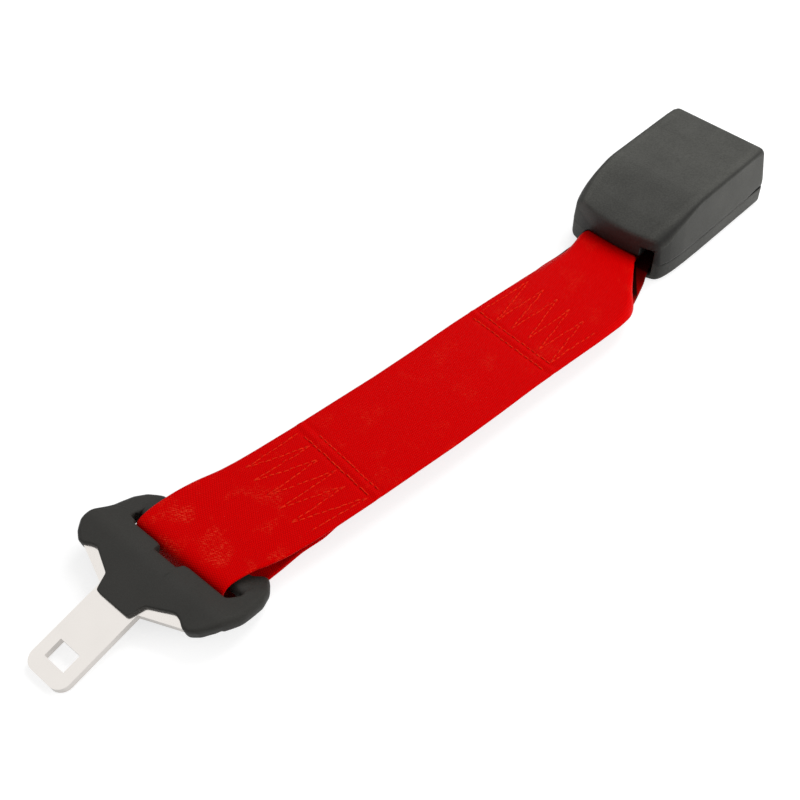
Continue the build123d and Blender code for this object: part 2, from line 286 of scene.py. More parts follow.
def plastic(name, dark, light, roughness, grainScale, bump, specular=0.5, rim=None):
    material, tree, shader = newMaterial(name, dark, roughness, specular=specular)
    texture = placeGrain(tree, grainScale, 70.0)
    speckle = mathNode(tree, "ADD", mathNode(tree, "MULTIPLY", texture.outputs["Height"], 0.7),
                       mathNode(tree, "MULTIPLY", texture.outputs["Tone"], 0.3))
    color = mixColor(tree, ramp(tree, speckle, 0.35, 0.65), dark, light)
    if rim:
        # the piece's own rim attribute scales the colour with painted shade and painted highlight: above 0
        # darker, below 0 paler
        paintedLightAttribute = tree.nodes.new("ShaderNodeAttribute")
        paintedLightAttribute.attribute_name = "rim"
        scale = tree.nodes.new("ShaderNodeVectorMath")
        scale.operation = "SCALE"
        tree.links.new(color, scale.inputs[0])
        tree.links.new(ramp(tree, paintedLightAttribute.outputs["Fac"], -1.0, 2.0, 1.0 + rim, 1.0 - 2.0 * rim),
                       scale.inputs["Scale"])
        color = scale.outputs[0]
    tree.links.new(color, shader.inputs["Base Color"])
    tree.links.new(ramp(tree, texture.outputs["Height"], 0.3, 0.7, roughness - 0.06, roughness + 0.08),
                   shader.inputs["Roughness"])
    bumpInto(tree, shader, texture.outputs["Height"], bump, 0.0002)
    return material


def metal(name, color, roughness, grainScale, bump):
    material, tree, shader = newMaterial(name, color, roughness, metallic=1.0)
    texture = placeGrain(tree, grainScale, 120.0)
    tree.links.new(ramp(tree, texture.outputs["Tone"], 0.3, 0.7, roughness - 0.05, roughness + 0.07),
                   shader.inputs["Roughness"])
    bumpInto(tree, shader, texture.outputs["Height"], bump, 0.00005)
    return material


webbingLook = {
    "low": linear(193, 0, 1), "high": linear(218, 0, 2), "paintedShade": linear(22, 3, 2),
    "roughness": 0.5, "specular": 0.1, "tint": (1.0, 0.1, 0.03, 1.0),
    "rib": 0.8, "column": 0.95, "bump": 0.5,
    "sheen": 0.05, "sheenRoughness": 0.4, "sheenTint": (1.0, 0.03, 0.01, 1.0),
    # painted highlight: orange shine of the floats painted into the colour; a range of x is in metres, as all
    # places below are
    "glint": linear(252, 92, 58), "floatAngle": math.radians(137), "floatSize": (1.5, 0.4),
    "floatRange": (0.5, 0.68), "floatLow": 0.55, "patchSize": 75.0, "patchRange": (0.56, 0.76),
    "tongueX": (-0.235, -0.27), "tonguePatches": 0.07,
    "glintX": (-0.205, -0.26), "glintAmount": (0.3, 0.66),
    # painted shade: inside the buckle, on the lower ply, where the upper ply covers it, at the slot's end
    "insideX": (-0.0424, -0.0402), "insideShade": 0.97,
    "lowerX": (-0.072, -0.046), "lowerZ": (0.0085, 0.0065), "lowerShade": 0.86,
    "coverSlope": 0.73, "coverEdge": (0.0138, 0.0156), "coverX": (-0.071, -0.06),
    "slotY": (-0.0025, -0.0125), "slotZ": (0.0098, 0.0068), "slotX": (-0.262, -0.279), "slotShade": 0.9,
}


def webbingPaintedShade(tree, position):
    # painted shade mask: near-black inside the buckle, on the lower ply, under the upper ply and at the
    # slot's end, painted where shade falls
    look = webbingLook
    x, y, z = (position.outputs[axis] for axis in "XYZ")
    lowZ = ramp(tree, z, *look["lowerZ"])
    inside = mathNode(tree, "MULTIPLY", ramp(tree, x, *look["insideX"]), look["insideShade"])
    lower = combine(tree, "MULTIPLY", ramp(tree, x, *look["lowerX"]), lowZ, look["lowerShade"])
    slope = mathNode(tree, "SUBTRACT", y, mathNode(tree, "MULTIPLY", x, look["coverSlope"]))
    covered = combine(tree, "MULTIPLY", ramp(tree, slope, *look["coverEdge"]),
                      ramp(tree, x, *look["coverX"]), lowZ)
    slotEnd = combine(tree, "MULTIPLY", ramp(tree, y, *look["slotY"]), ramp(tree, z, *look["slotZ"]),
                      ramp(tree, x, *look["slotX"], 0.0, look["slotShade"]))
    return combine(tree, "MAXIMUM", inside, lower, covered, slotEnd)


def webbingMaterial():
    look = webbingLook
    material, tree, shader = newMaterial("webbing red", look["high"], look["roughness"],
                                         specular=look["specular"])
    setInputs(shader, {"Specular Tint": look["tint"], "Sheen Weight": look["sheen"],
                       "Sheen Roughness": look["sheenRoughness"], "Sheen Tint": look["sheenTint"]})
    strap = tree.nodes.new("ShaderNodeUVMap")
    strap.uv_map = "strap"
    cloth = placeGroup(tree, weave, Rib=look["rib"], Column=look["column"])
    tree.links.new(strap.outputs[0], cloth.inputs["Strap"])
    texture = placeGrain(tree, 900.0, look["patchSize"])
    plain = mixColor(tree, ramp(tree, cloth.outputs["Height"], 0.1, 0.9), look["low"], look["high"])
    # painted highlight: the floats of the weave are coloured orange in soft patches, standing in for their
    # shine
    position = tree.nodes.new("ShaderNodeSeparateXYZ")
    tree.links.new(objectCoordinates(tree), position.inputs[0])
    nearTongue = ramp(tree, position.outputs["X"], *look["tongueX"], 0.0, look["tonguePatches"])
    patch = ramp(tree, mathNode(tree, "ADD", texture.outputs["Tone"], nearTongue), *look["patchRange"])
    slant = tree.nodes.new("ShaderNodeMapping")
    slant.vector_type = "TEXTURE"
    setInputs(slant, {"Rotation": (0.0, 0.0, look["floatAngle"]), "Scale": (*look["floatSize"], 1.0)})
    tree.links.new(strap.outputs[0], slant.inputs["Vector"])
    floats = tree.nodes.new("ShaderNodeTexNoise")
    setInputs(floats, {"Scale": 1.0, "Detail": 1.0})
    tree.links.new(slant.outputs[0], floats.inputs["Vector"])
    thread = mathNode(tree, "MULTIPLY", ramp(tree, floats.outputs[0], *look["floatRange"]),
                      ramp(tree, cloth.outputs["Rise"], 0.0, 1.0, look["floatLow"], 1.0))
    amount = ramp(tree, position.outputs["X"], *look["glintX"], *look["glintAmount"])
    # painted highlight: how much orange glint colour is mixed in
    paintedGlint = combine(tree, "MULTIPLY", patch, thread, amount)
    color = mixColor(tree, paintedGlint, plain, look["glint"])
    # painted shade darkens the colour where the mask is set
    color = mixColor(tree, webbingPaintedShade(tree, position), color, look["paintedShade"])
    tree.links.new(color, shader.inputs["Base Color"])
    bumpInto(tree, shader, cloth.outputs["Height"], look["bump"], 0.0002)
    return material


def threadMaterial():
    material, tree, shader = newMaterial("thread red", linear(226, 38, 14), 0.5, specular=0.1)
    texture = placeGrain(tree, 3000.0, 400.0)
    tree.links.new(mixColor(tree, ramp(tree, texture.outputs["Tone"], 0.3, 0.7), linear(212, 12, 4),
                            linear(232, 50, 18)), shader.inputs["Base Color"])
    bumpInto(tree, shader, texture.outputs["Height"], 0.4, 0.0001)
    return material


housingPlastic = plastic("housing plastic", dark=linear(55, 55, 51), light=linear(77, 77, 73),
                         roughness=0.5, grainScale=1300.0, bump=0.7, specular=0.38, rim=0.42)
coverPlastic = plastic("tongue cover plastic", dark=linear(38, 37, 34), light=linear(48, 47, 44),
                       roughness=0.5, grainScale=1600.0, bump=0.35, specular=0.33)
sliderPlastic = plastic("slider plastic", dark=linear(38, 38, 38), light=linear(46, 46, 46),
                        roughness=0.5, grainScale=1500.0, bump=0.3)
buttonPlastic = plastic("button plastic", dark=linear(178, 8, 10), light=linear(190, 14, 14),
                        roughness=0.3, grainScale=900.0, bump=0.08)
tongueSteel = metal("bright steel", linear(236, 231, 226), roughness=0.2, grainScale=900.0, bump=0.08)
frameSteel = metal("plated steel", linear(190, 188, 180), roughness=0.36, grainScale=700.0, bump=0.3)
springSteel = metal("spring wire", linear(165, 165, 165), roughness=0.3, grainScale=900.0, bump=0.1)
webbingRed = webbingMaterial()
threadRed = threadMaterial()
print("materials made")

cadFinish = {
    "mouth_bezel": housingPlastic, "latch_frame": frameSteel, "guide_plate": frameSteel,
    "guide_rivets": frameSteel, "latch_pawl": frameSteel, "pawl_pin": springSteel,
    "release_slider": sliderPlastic, "ejector": sliderPlastic,
}
for node, material in cadFinish.items():
    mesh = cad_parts[node].data
    mesh.materials.clear()
    mesh.materials.append(material)


housing = {
    "parting": 9.3,
    "draft": 0.093,
    "waist": 10.0,
    "wall": 2.2,
    "faceKnee": 14.0,
    "faceLean": 2.8,
    "height": 31.0,
    "frontX": 41.5,
    "rearX": -41.0,
    "bow": {"out": 1.4, "in": 3.6, "start": -18.0, "half": 22.0, "power": 2.4},
    "mouth": {"half": 18.6, "shift": -2.0, "bottom": 2.4, "radius": 1.5},
    "mouthTaper": {"side": 2.3, "fromZ": 5.5, "overZ": 3.8, "fromY": 5.0, "overY": 10.0},
    "mouthRings": (  # x, how far the fillet has opened
        (-35.5, 0.0), (-40.0, 0.0), (-40.4, 0.05), (-40.75, 0.2), (-40.95, 0.42), (-41.0, 0.6)),
    "mouthLine": [  # place along the ring, y, z, and how far y and z go out with the fillet
        (0, -20.6, 9.3, -1.0, 0.0), (18, -20.6, 16.4, -1.0, 1.0), (30, -14.8, 16.4, 1.0, 1.0),
        (33, -14.6, 11.3, 1.0, 1.0), (46, 5.0, 11.3, 0.0, 1.0), (54, 10.0, 11.2, 0.3, 1.0),
        (63, 12.9, 10.6, 0.7, 0.7), (78, 14.3, 9.3, 1.0, 0.0)],
    "slit": (28.5, 46.5, 1.5),  # from x, to x, height
    "frontEdge": 5.4,  # the sections stop this far behind the front
    "frontRings": (  # inset, distance behind the face
        (0.0, 2.4), (0.07, 1.6), (0.28, 0.92), (0.6, 0.42), (1.05, 0.12), (1.7, 0.0)),
    "holeRings": ((-0.3, 0.0), (0.0, 0.3), (0.0, 2.0), (0.0, 3.4)),  # inset, distance behind the face
    "hole": {"half": 16.4, "top": 28.5, "bottom": 7.3, "topRadius": 1.2, "bottomRadius": 0.8,
             "lowZ": 14.9, "lowRoom": 0.65, "lowHalf": 17.05},  # wider below lowZ
    "innerX": -37.5,
    "innerStep": 4,
    "edgeBreak": (0.16, 0.25),  # depth and reach of the small break at the parting edge
    "upperRows": np.array([  # x, half width, top, corner radius
        (-41.0, 22.9, 17.5, 2.0), (-41.0, 23.4, 19.5, 2.8), (-40.95, 23.7, 21.2, 3.6),
        (-40.6, 24.0, 22.3, 4.3),
        (-39.6, 24.5, 23.1, 4.8), (-38.3, 25.0, 23.8, 5.0), (-35.6, 25.6, 24.95, 4.6),
        (-31.4, 26.0, 26.6, 3.8), (-24.2, 26.4, 28.35, 2.8), (-19.0, 26.5, 29.7, 2.3),
        (-15.0, 26.6, 30.6, 1.9), (-11.0, 26.6, 31.1, 1.9), (8.0, 26.6, 31.15, 1.9),
        (31.0, 26.6, 31.15, 1.9), (41.5, 26.6, 31.15, 3.4)]),
    "lowerRows": np.array([  # x, half width, bottom, corner radius
        (-41.0, 22.7, 1.3, 1.4), (-40.95, 23.3, 0.9, 1.8), (-40.5, 24.0, 0.5, 2.2),
        (-39.6, 24.6, 0.15, 2.5), (-38.0, 25.1, 0.0, 2.6), (-35.0, 25.6, 0.0, 2.6),
        (-30.5, 26.0, 0.0, 2.6), (-20.0, 26.4, 0.0, 2.6), (-9.0, 26.6, 0.0, 2.6), (41.5, 26.6, 0.0, 2.2)]),
}


def sectionLine(half, edge, radius, parting, upper, draft):
    # U-shaped section in (y, z) from one side's parting edge to the other's: a drafted side, a quarter
    # circle, and the flat top or bottom; each value is a column, so one call gives every station
    half, edge, radius, parting = [np.asarray(v, float).reshape(-1, 1)
                                   for v in (half, edge, radius, parting)]
    sign = 1.0 if upper else -1.0
    sideEnd = edge - sign * radius
    rise = np.linspace(0.0, 1.0, 16) ** 0.9
    sideZ = parting + (sideEnd - parting) * rise
    lean = draft * np.maximum(sideZ - housing["waist"], 0.0)
    sideY = half - lean
    depth, fade = housing["edgeBreak"]
    sideY = sideY - depth * np.exp(-np.abs(sideZ - parting) / fade)
    turn = np.linspace(0.0, math.pi / 2, 12)[1:]
    centreY = sideY[:, -1:] - radius
    cornerY = centreY + radius * np.cos(turn)
    cornerZ = sideEnd + sign * radius * np.sin(turn)
    across = 1.0 - np.linspace(0.0, 1.0, 14)[1:]
    topY = cornerY[:, -1:] * across
    topZ = np.repeat(edge, len(across), 1)
    y = np.concatenate([sideY, cornerY, topY], 1)
    z = np.concatenate([sideZ, cornerZ, topZ], 1)
    y = np.concatenate([-y, y[:, -2::-1]], 1)
    z = np.concatenate([z, z[:, -2::-1]], 1)
    return y, z


def leanX(z):
    # x of the end face at height z
    rise = fade(z, housing["faceKnee"], housing["height"] - housing["faceKnee"])
    return housing["frontX"] - housing["faceLean"] * rise


def mouthRing(xs, grow, upper):
    # edge of the strap opening, straight lines between named points; a lip hangs over the webbing,
    # with an open notch beside it, and the left end curves down
    h = housing
    if upper:
        place, y, z, goY, goZ = np.array(h["mouthLine"]).T
        at = np.arange(int(place[-1]) + 1)
        y = np.interp(at, place, y + grow * goY)[None]
        z = np.interp(at, place, z + grow * goZ)[None]
    else:
        mouth, taper = h["mouth"], h["mouthTaper"]
        y, z = sectionLine(mouth["half"] + grow, mouth["bottom"] - grow, mouth["radius"], h["parting"],
                           False, 0.0)
        up = fade(z, taper["fromZ"], taper["overZ"])
        y = y + mouth["shift"] - taper["side"] * up * fade(y, taper["fromY"], taper["overY"])
    return np.full(y.shape, xs), y, z


def shellRings(rows, upper):
    # rings of one shell: out through the strap opening, along the outside to the front, in at the
    # hole of the front face, and back along the inside
    h = housing
    wall = h["wall"]
    outer = blurRows(resample(rows, 0.4), 1.1)
    x, half, edge, radius = outer.T
    slitStart, slitEnd, slitHigh = h["slit"]
    slitShare = fade(x, slitStart, slitEnd - slitStart)
    parting = h["parting"] + (slitHigh * np.sin(math.pi * slitShare) if upper else 0.0 * x)
    sign = 1.0 if upper else -1.0
    draft = h["draft"] if upper else 0.0
    rings = []

    def addRing(xs, y, z):
        rings.append(np.stack([np.broadcast_to(xs, y.shape), y, z], -1))

    for xs, grow in h["mouthRings"]:
        addRing(*mouthRing(xs, grow, upper))
    y, z = sectionLine(half, edge, radius, parting, upper, draft)
    keep = x < h["frontX"] - h["frontEdge"]
    addRing(x[keep][:, None], y[keep], z[keep])
    last = outer[-1]
    for inset, back in h["frontRings"]:
        y, z = sectionLine(last[1] - inset, last[2] - sign * inset, max(last[3] - inset, 0.6),
                           parting[-1], upper, draft)
        addRing(leanX(z) - back, y, z)
    hole = h["hole"]
    holeEdge, holeRadius = hole["top" if upper else "bottom"], hole["topRadius" if upper else "bottomRadius"]
    for inset, back in h["holeRings"]:
        y, z = sectionLine(hole["half"] - inset, holeEdge - sign * inset, holeRadius, parting[-1], upper, 0.0)
        wider = np.minimum(np.abs(y) + hole["lowRoom"], hole["lowHalf"])
        y = np.sign(y) * np.maximum(np.abs(y), np.where(z < hole["lowZ"], wider, np.abs(y)))
        addRing(leanX(z) - back, y, z)
    inner = np.where(keep & (x > h["innerX"]))[0][::-h["innerStep"]]
    y, z = sectionLine(half[inner] - wall, edge[inner] - sign * wall,
                       np.maximum(radius[inner] - wall, 0.6), h["parting"] + 0.0 * x[inner], upper, draft)
    addRing(x[inner][:, None], y, z)
    return bowed(np.concatenate(rings))


def bowed(points):
    # the rear end bulges in plan: x moves by a power of y, fading out towards the middle
    bow = housing["bow"]
    share = easy(fade(points[..., 0], bow["start"], housing["rearX"] - bow["start"]))
    shift = bow["in"] * (np.abs(points[..., 1]) / bow["half"]) ** bow["power"] - bow["out"]
    points[..., 0] += share * shift
    return points


def closeParting(work):
    # one flat face closes each side at the parting
    bmesh.ops.holes_fill(work, edges=[e for e in work.edges if e.is_boundary], sides=0)


def makeShell(name, node, rows, upper):
    points = shellRings(rows, upper)
    count, around = points.shape[:2]
    faces = gridQuads(count, around, True, False).tolist()
    piece = meshPiece(name, points, faces, housingPlastic, "buckle")
    editMesh(piece.data, closeParting, turnOutwards)
    piece.data.polygons.foreach_set("use_smooth", [len(p.vertices) < 5 for p in piece.data.polygons])
    paintRim(piece, points, upper)
    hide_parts(node)


# painted shade and painted highlight on the housing's colour: a dark band along the ridge, a pale line above
# it, a dark opening and lip, a darker rear end and dark parting faces
paintedLight = {  # strength, place and width; the ridge and the pale line count columns up from the parting
    "ridge": (1.25, 21.0, 3.2),
    "paleLine": (0.5, 26.6, 0.8),
    "ridgeZ": (15.0, 5.0),
    "opening": (1.25, -1.0, 40.0),
    "lip": (0.95, 14.0, -6.0),
    "rear": (0.56, 8.0, -30.0),
    "rearSides": (0.7, -22.0, -12.0),
    "sideColumns": 16,
    "fadeY": (22.0, -14.0),
    "most": 2.0,
    "parting": 2.2,
}


def paintRim(piece, points, upper):
    # the colour's rim attribute holds painted shade and painted highlight: a painted shade band on the upper
    # shell's ridge with a painted highlight line above it, painted shade in the strap opening and on the lip,
    # a darker rear end as painted shade, and dark parting faces as painted shade in the slit
    count, around = points.shape[:2]
    mouth = len(housing["mouthRings"])
    column = np.minimum(np.arange(around), around - 1 - np.arange(around))
    x, y, z = points[..., 0], points[..., 1], points[..., 2]
    rim = np.zeros((count, around))
    if upper:
        (strong, ridgeAt, ridgeWide), (pale, paleAt, paleWide) = paintedLight["ridge"], paintedLight["paleLine"]
        # painted shade band along the ridge, with a painted highlight line above it
        rim = strong * np.exp(-((column - ridgeAt) / ridgeWide) ** 2) \
            - pale * np.exp(-((column - paleAt) / paleWide) ** 2)
        rim = rim * fade(z, *paintedLight["ridgeZ"])
        # painted shade in the strap opening and on the lip
        dark, middle, wide = paintedLight["opening"]
        rim[:mouth] = paintedLight["most"] * np.clip(dark - np.abs(y[:mouth] - middle) / wide, 0.0, 1.0)
        lip, lipRows = paintedLight["lip"], slice(mouth, mouth + 3)
        rim[lipRows] = np.maximum(rim[lipRows], lip[0] * fade(y[lipRows], *lip[1:]))
    # painted shade: the rear half darker, and the rear end of the sides darker still
    rear, rearSides = paintedLight["rear"], paintedLight["rearSides"]
    rearShade = rear[0] * fade(x, *rear[1:])
    rearShade += rearSides[0] * fade(x, *rearSides[1:]) * (column < paintedLight["sideColumns"])
    rearShade[:mouth] = 0.0
    rim = np.minimum(rim + rearShade * fade(y, *paintedLight["fadeY"]), paintedLight["most"])
    mesh = piece.data
    vertex = np.zeros(len(mesh.loops), np.int32)
    mesh.loops.foreach_get("vertex_index", vertex)
    sides = np.zeros(len(mesh.polygons), np.int32)
    mesh.polygons.foreach_get("loop_total", sides)
    # painted shade: the parting faces, seen through the slit, are made dark
    values = np.where(np.repeat(sides, sides) > 4, paintedLight["parting"], rim.ravel()[vertex])
    layer = mesh.attributes.new("rim", "FLOAT", "CORNER")
    layer.data.foreach_set("value", values.astype(np.float32))


makeShell("upper_shell", "upper_cover", housing["upperRows"], True)
makeShell("lower_shell", "lower_cover", housing["lowerRows"], False)
print("housing made")

button = {
    "back": 29.0, "low": 15.3, "high": 28.2, "half": 16.0, "round": 1.6, "dish": 0.9, "sunk": 0.35,
    "around": 160, "square": 0.16, "backInset": 1.0, "faceInset": 0.9,
    "edgeRings": ((0.0, 1.2), (0.06, 0.7), (0.22, 0.32), (0.5, 0.08), (0.9, 0.0)),  # inset, set back
    "faceShares": (0.9, 0.8, 0.65, 0.5, 0.35, 0.2, 0.08, 0.02),
}


def buttonLine(inset):
    # closed rounded rectangle in (y, z); the small power squares the circle's cosine and sine
    b = button
    turn = np.linspace(0, 2 * math.pi, b["around"], endpoint=False)
    c, s = np.cos(turn), np.sin(turn)
    low, high = b["low"] + inset, b["high"] - inset
    flatY = b["half"] - inset - b["round"]
    flatZ = (high - low) / 2 - b["round"]
    y = flatY * np.sign(c) * np.abs(c) ** b["square"] + b["round"] * c
    z = flatZ * np.sign(s) * np.abs(s) ** b["square"] + b["round"] * s
    return y, z + (low + high) / 2


def makeButton():
    # closed cap: back edge, rounded front edge, and a face dished by the fourth power of the share
    b = button
    rings = []
    for inset in (b["backInset"], 0.0):
        y, z = buttonLine(inset)
        rings.append(np.stack([np.full(len(y), b["back"]), y, z], -1))
    for inset, back in b["edgeRings"]:
        y, z = buttonLine(inset)
        rings.append(np.stack([leanX(z) - b["sunk"] - back, y, z], -1))
    middle = (b["low"] + b["high"]) / 2
    faceY, faceZ = buttonLine(b["faceInset"])
    for share in b["faceShares"]:
        y, z = faceY * share, middle + (faceZ - middle) * share
        dish = b["dish"] * (1 - share ** 4)
        rings.append(np.stack([leanX(z) - b["sunk"] - dish, y, z], -1))
    faces = gridQuads(len(rings), b["around"], False, True).tolist() + endCaps(len(rings), b["around"])
    piece = meshPiece("button_cap", np.stack(rings), faces, buttonPlastic, "button")
    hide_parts("release_button")


makeButton()


coil = {"wire": 0.26, "stepsPerTurn": 28, "ring": 10, "closedTurns": 0.8, "closedPitch": 0.12}
buttonCoil = {"way": (1, 0, 0), "radius": 1.55, "length": 19.5, "turns": 9, "joint": "button_press",
              "short": 14.5}
springs = {  # short is the length at the joint's far limit; the fixed end is at start unless given
    "button_coil_left": {**buttonCoil, "node": "button_spring_left", "start": (8.0, 9.5, 24.5)},
    "button_coil_right": {**buttonCoil, "node": "button_spring_right", "start": (8.0, -9.5, 24.5)},
    "ejector_coil": {"node": "ejector_spring", "start": (-11.5, 0.0, 11.4), "way": (1, 0, 0), "radius": 1.55,
                     "length": 17.5, "turns": 9, "joint": "ejector_slide", "short": 5.5},
    "pawl_coil": {"node": "pawl_spring", "start": (6.0, 0.0, 17.5), "way": (0, 0, 1), "radius": 2.1,
                  "length": 9.5, "turns": 5, "joint": "pawl_lift", "short": 4.9,
                  "fixedEnd": (6.0, 0.0, 27.0)},
}


def makeSpring(name, spring):
    # tube round a helix: the centre line climbs from start along way, more slowly at the closed ends,
    # and a circle of the wire's radius is carried along it
    wire, turns = coil["wire"], spring["turns"]
    steps = int(turns * coil["stepsPerTurn"])
    t = np.linspace(0.0, 1.0, steps)
    angle = t * turns * 2 * math.pi
    direction = np.array(spring["way"], float)
    side = np.array((0.0, 1.0, 0.0))
    other = np.cross(direction, side)
    ends = np.clip(np.minimum(t, 1 - t) * turns / coil["closedTurns"], 0.0, 1.0)
    climb = np.cumsum(coil["closedPitch"] + (1 - coil["closedPitch"]) * ends)
    climb = (climb - climb[0]) / (climb[-1] - climb[0]) * (spring["length"] - 2 * wire) + wire
    outward = np.cos(angle)[:, None] * side + np.sin(angle)[:, None] * other
    line = np.array(spring["start"]) + climb[:, None] * direction + spring["radius"] * outward
    ring = np.linspace(0, 2 * math.pi, coil["ring"], endpoint=False)
    points = line[:, None] + wire * (np.cos(ring)[None, :, None] * outward[:, None]
                                     + np.sin(ring)[None, :, None] * direction)
    faces = gridQuads(steps, coil["ring"], False, True).tolist()
    faces += endCaps(steps, coil["ring"])
    piece = meshPiece(name, points, faces, springSteel, "buckle")
    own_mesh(piece)
    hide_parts(spring["node"])


for name, spring in springs.items():
    makeSpring(name, spring)
print("button and springs made")

tongue = {
    "yaw": math.radians(1.65),
    "pitch": math.radians(11.4),
    "bend": math.radians(28.0),
    "ridge": 42.0,
    "barU": 61.3,
    "bar": (-274.5, 13.6, 6.3),
    "bendRadius": 4.0,
    "halfThick": 3.3,
    "barHalfThick": 3.0,
    "shift": -3.2,
    "ridgePoint": (-292.99, 13.07, 11.81),
    "bladeWay": (0.9799, 0.0282, 0.1977),
    "rearWay": (0.9579, 0.0276, -0.2857),
    "lateral": (-0.0288, 0.9996, 0.0),
    "shiftFrom": 37.0,
    "shiftOver": 14.0,
    "slotRim": 1.7,
    "barRim": 2.95,
    "barFromU": 55.6,
    "dome": 0.25,
    "edgeRoll": 0.45,
}
slotEnd = {  # how the two ends of the slot are moved, in mm
    "from": 20.0, "over": 4.0, "right": 1.3, "rightBack": 0.9, "rightU": 53.6, "rightOver": (2.6, 1.5),
    "left": -0.6, "leftU": 54.0, "leftBack": 1.3, "leftFrom": 23.4,
}
coverRows = np.array([  # outer u, outer v, inner u, inner v, rim radius
    (23.45, 0.0, 47.3, 0.0, 0.5), (23.45, 6.9, 47.3, 5.4, 0.5), (23.6, 8.1, 47.3, 6.0, 0.5),
    (25.2, 8.7, 50.0, 6.5, 0.6), (30.0, 10.35, 50.5, 8.6, 0.8), (32.5, 15.7, 50.5, 14.0, 0.9),
    (34.9, 20.7, 50.5, 18.8, 1.0), (34.3, 23.6, 50.5, 21.2, 1.1), (32.5, 26.7, 50.5, 23.4, 1.4),
    (32.5, 29.0, 50.5, 25.2, 1.8), (34.8, 32.3, 50.7, 26.7, 2.3), (38.8, 35.2, 51.7, 27.1, 2.6),
    (42.0, 36.2, 53.0, 27.0, 2.8), (48.0, 36.1, 53.8, 26.9, 2.9), (54.5, 35.7, 54.4, 26.9, 2.9),
    (60.0, 35.0, 55.0, 26.9, 2.9), (65.2, 32.7, 55.6, 26.8, 2.9), (68.3, 29.7, 56.1, 26.7, 2.9),
    (69.9, 27.6, 56.4, 26.5, 2.9), (69.4, 25.9, 56.6, 25.6, 2.9), (67.8, 24.7, 56.6, 24.0, 2.9),
    (66.4, 23.8, 56.6, 22.2, 2.9), (66.0, 22.0, 56.6, 20.4, 2.9), (66.0, 19.0, 56.6, 18.0, 2.9),
    (66.0, 10.0, 56.6, 9.0, 2.95), (66.0, 0.0, 56.6, 0.0, 2.95)])


def bendLine():
    # neutral line of the bent tongue: heading goes from +pitch to pitch - bend across the ridge
    t = tongue
    u = np.linspace(-20.0, 90.0, 4401)
    half = t["bendRadius"] * t["bend"] / 2
    heading = t["pitch"] - t["bend"] * np.clip((u - t["ridge"] + half) / (2 * half), 0.0, 1.0)
    step = u[1] - u[0]
    along = np.concatenate([[0.0], np.cumsum(np.cos(heading[:-1])) * step])
    rise = np.concatenate([[0.0], np.cumsum(np.sin(heading[:-1])) * step])
    return u, along - np.interp(t["barU"], u, along), rise - np.interp(t["barU"], u, rise), heading


bendTable = bendLine()


def onTongue(u, v, w):
    # a point of the flat layout (u along, v across, w up from the middle of the steel) in its place
    # on the bent tongue, in mm
    table, along, rise, heading = bendTable
    angle = np.interp(u, table, heading)
    x = np.interp(u, table, along) - w * np.sin(angle)
    z = np.interp(u, table, rise) + w * np.cos(angle)
    c, s = math.cos(tongue["yaw"]), math.sin(tongue["yaw"])
    bx, by, bz = tongue["bar"]
    return np.stack([bx + x * c - v * s, by + x * s + v * c, bz + z], -1)


def sideShift(u):
    # the rear half of the tongue sits a little to one side of the blade's line
    share = fade(u, tongue["shiftFrom"], tongue["shiftOver"])
    return tongue["shift"] * share * share * (3 - 2 * share)


def shapeSlotEnds(loop):
    # the slot's left end is square, its right end slants back; both moves fade in along the slot
    e = slotEnd
    u, v = loop[:, 2], loop[:, 3]
    reached = np.abs(v - sideShift(u))
    share = fade(reached, e["from"], e["over"])
    slant = e["right"] * fade(u, e["rightU"], -e["rightOver"][0])
    slant = slant - e["rightBack"] * fade(u, e["rightU"], e["rightOver"][1])
    u += e["leftBack"] * fade(reached, e["leftFrom"], 1.0) * ((v > 0) & (u < e["leftU"]))
    v += share * np.where(v < 0, slant, e["left"])


def makeTongueCover():
    # closed band round the webbing slot: from slot edge to outline over the top and back below,
    # with each rim a quarter circle
    t = tongue
    half = resample(coverRows, 0.45)
    loop = np.concatenate([half, half[-2:0:-1] * np.array([1, -1, 1, -1, 1])])
    loop = blurRows(loop, 1.3, closed=True)
    loop[:, 1] += sideShift(loop[:, 0])
    loop[:, 3] += sideShift(loop[:, 2]) * (0.4 + 0.6 * np.clip(np.abs(loop[:, 3]) / 20.0 - 0.2, 0.0, 1.0))
    shapeSlotEnds(loop)
    outer, inner, rim = loop[:, :2], loop[:, 2:4], loop[:, 4]
    reach = np.linalg.norm(outer - inner, axis=1)
    way = (outer - inner) / reach[:, None]
    barShare = fade(inner[:, 0], t["barFromU"], 1.0)
    thick = t["halfThick"] + (t["barHalfThick"] - t["halfThick"]) * barShare
    innerRim = np.where(barShare > 0.5, t["barRim"], t["slotRim"])
    rim = np.minimum(rim, thick)
    turn = np.linspace(0.0, math.pi / 2, 9)
    flat = np.linspace(0.0, 1.0, 24)[1:-1]
    first = innerRim[:, None] * (1 - np.cos(turn))
    lift = thick[:, None] - innerRim[:, None] * (1 - np.sin(turn))
    flatStart = innerRim[:, None]
    flatEnd = reach[:, None] - rim[:, None]
    dome = t["dome"] * np.sin(math.pi * flat) * fade(reach[:, None], 8, 10)
    middle = flatStart + (flatEnd - flatStart) * flat
    last = reach[:, None] - rim[:, None] * (1 - np.cos(turn[::-1]))
    drop = thick[:, None] - rim[:, None] * (1 - np.sin(turn[::-1]))
    distance = np.concatenate([first, middle, last], 1)
    height = np.concatenate([lift, thick[:, None] + dome, drop], 1)
    distance = np.concatenate([distance, distance[:, ::-1]], 1)
    height = np.concatenate([height, -height[:, ::-1]], 1)
    u = inner[:, :1] + way[:, :1] * distance
    v = inner[:, 1:] + way[:, 1:] * distance
    points = onTongue(u, v, height)
    faces = gridQuads(points.shape[0], points.shape[1], True, True).tolist()
    piece = meshPiece("tongue_grip", points, faces, coverPlastic, "tongue")
    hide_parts("tongue_cover")


def mergeFlat(work):
    # doubles are merged, then flat neighbours become one face
    bmesh.ops.remove_doubles(work, verts=work.verts, dist=1e-6)
    bmesh.ops.dissolve_limit(work, angle_limit=math.radians(1.0), verts=work.verts, edges=work.edges)


